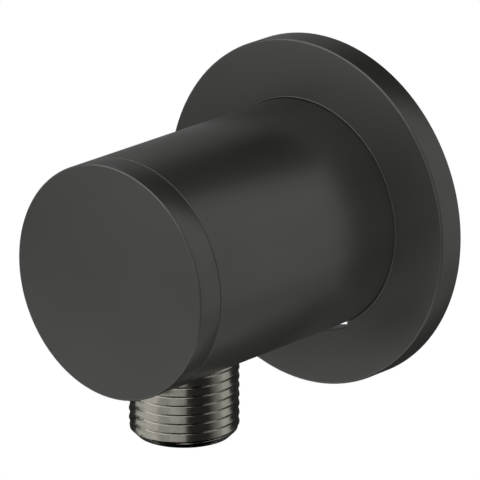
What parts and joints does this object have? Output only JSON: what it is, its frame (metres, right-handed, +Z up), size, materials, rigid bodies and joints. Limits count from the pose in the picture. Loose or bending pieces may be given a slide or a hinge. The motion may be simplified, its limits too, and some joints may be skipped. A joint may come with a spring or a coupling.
{
  "type": "shower outlet elbow",
  "caption": "Wall outlet elbow for a shower hose: a round housing with a front cap on a round rosette, and a male thread pointing down that holds a non-return valve.",
  "frame": {"origin": "centre of the rosette's back, on the housing's axis, in the plane of the wall", "axes": "+Z up, +Y into the wall along the housing's axis, +X to the right of someone who faces the wall"},
  "size_m": [0.0682, 0.0741, 0.0691],
  "materials": {
    "black_finish": "matt black coat on brass",
    "dark_nickel": "dark satin nickel on turned brass",
    "bare_brass": "turned",
    "screw_steel": "plain stainless",
    "rubber": "black EPDM",
    "foam": "closed-cell foam",
    "valve_plastic": "moulded acetal"
  },
  "bodies": {
    "elbow": {"rosette": "black_finish", "rosette_seal": "foam", "housing": "black_finish", "front_cap": "black_finish", "cap_o_ring": "rubber", "wall_nipple": "bare_brass", "spigot_o_rings": "rubber", "grub_screw": "screw_steel", "outlet_nipple": "dark_nickel", "outlet_o_ring": "rubber", "valve_cage": "valve_plastic", "valve_o_ring": "rubber", "valve_guide": "valve_plastic", "valve_spring": "screw_steel"},
    "poppet": {"valve_poppet": "valve_plastic", "poppet_seal": "rubber"}
  },
  "joints": [
    {"name": "valve_travel", "type": "slide", "parent": "elbow", "child": "poppet", "axis": [0, 0, -1], "range_m": [0, 0.0025], "stiffness_N_per_m": 40, "springref_m": -0.002, "deforming": ["valve_spring"]}
  ]
}
